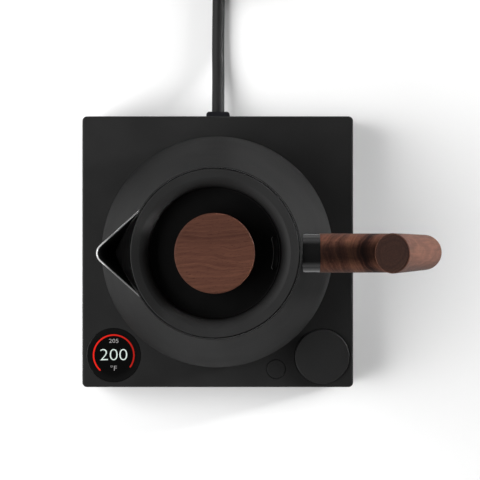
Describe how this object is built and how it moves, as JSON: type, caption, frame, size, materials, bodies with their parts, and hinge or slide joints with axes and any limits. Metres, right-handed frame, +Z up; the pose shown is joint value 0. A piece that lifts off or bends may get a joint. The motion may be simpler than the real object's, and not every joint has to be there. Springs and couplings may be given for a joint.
{
  "type": "electric kettle",
  "caption": "Matte black cordless kettle with a V-shaped spout, lift-off lid, wooden knob and pistol-grip handle on a square power base with display, dial and button.",
  "frame": {"origin": "on the table under the centre of the square base", "axes": "+X towards the kettle's handle, +Y towards the power cord at the back, +Z up along the kettle's axis"},
  "size_m": [0.2283, 0.3617, 0.1819],
  "materials": {
    "black_coat": "fine matte powder coat",
    "gloss_black": "polished black",
    "black_plastic": "fine matte",
    "lid_plastic": "fine matte",
    "walnut": "oiled",
    "steel": "brushed",
    "aluminium": "cast",
    "brass": "turned",
    "screw_steel": "zinc plated",
    "silicone": "matte",
    "foot_rubber": "matte",
    "cord_sheath": "satin",
    "display_glass": "polished",
    "display_light": "lit numerals",
    "board_green": "solder mask",
    "component_black": "moulded",
    "relay_blue": "moulded",
    "tape_yellow": "wound",
    "terminal_grey": "moulded",
    "ribbon_grey": "satin",
    "wire_black": "satin",
    "wire_white": "satin",
    "wire_green": "satin",
    "label_paper": "printed foil",
    "cutout_ceramic": "unglazed"
  },
  "bodies": {
    "base": {"base_top_cover": "black_plastic", "base_bottom_cover": "black_plastic", "base_screws": "screw_steel", "rating_label": "label_paper", "foot_ring": "foot_rubber", "display_lens": "display_glass", "display_panel": "display_light", "display_frame": "component_black", "dial_encoder": "component_black", "button_switch": "component_black", "base_socket": "black_plastic", "socket_contacts": "brass", "power_board": "board_green", "control_board": "board_green", "board_screws": "screw_steel", "relay": "relay_blue", "transformer": "tape_yellow", "capacitors": "component_black", "terminal_block": "terminal_grey", "buzzer": "component_black", "ribbon_cable": "ribbon_grey", "live_wire": "wire_black", "neutral_wire": "wire_white", "earth_wire": "wire_green", "power_cord": "cord_sheath", "cord_tail": "cord_sheath", "cord_coil": "cord_sheath", "cord_gland": "cord_sheath", "plug_body": "cord_sheath", "plug_blades": "brass", "plug_earth_pin": "brass"},
    "coupler": {"coupler_housing": "black_plastic", "coupler_centre_pin": "brass", "coupler_ring_contact": "brass"},
    "kettle": {"kettle_shell": "black_coat", "pouring_spout": "black_coat", "kettle_floor": "steel", "heat_plate": "aluminium", "heating_element": "steel", "temperature_probe": "steel", "thermal_cutout": "cutout_ceramic", "bottom_cover": "black_plastic", "bottom_cover_screws": "screw_steel", "element_leads": "wire_white", "handle_ferrule": "gloss_black", "handle_mount": "steel", "handle_stud": "screw_steel", "handle_insert": "brass", "handle_grip": "walnut"},
    "lid": {"lid_cover": "lid_plastic", "lid_gasket": "silicone", "vent_baffle": "lid_plastic", "lid_inner_plate": "steel", "lid_knob": "walnut", "knob_insert": "brass", "knob_screw": "screw_steel"},
    "dial_shaft": {"encoder_shaft": "aluminium"},
    "dial": {"dial_knob": "black_plastic"},
    "button": {"select_button": "black_plastic"}
  },
  "joints": [
    {"name": "kettle_lift", "type": "slide", "parent": "base", "child": "coupler", "axis": [0, 0, 1], "range_m": [0, 0.12]},
    {"name": "kettle_turn", "type": "hinge", "parent": "coupler", "child": "kettle", "pos_m": [0, 0, 0.04], "axis": [0, 0, 1], "continuous": true},
    {"name": "lid_lift", "type": "slide", "parent": "kettle", "child": "lid", "axis": [0, 0, 1], "range_m": [0, 0.06]},
    {"name": "dial_press", "type": "slide", "parent": "base", "child": "dial_shaft", "axis": [0, 0, -1], "range_m": [0, 0.0007], "stiffness_N_per_m": 2000, "springref_m": -0.0003},
    {"name": "dial_turn", "type": "hinge", "parent": "dial_shaft", "child": "dial", "pos_m": [0.066, -0.0663, 0.035], "axis": [0, 0, 1], "continuous": true},
    {"name": "button_press", "type": "slide", "parent": "base", "child": "button", "axis": [0, 0, -1], "range_m": [0, 0.0007], "stiffness_N_per_m": 1500, "springref_m": -0.0003}
  ]
}
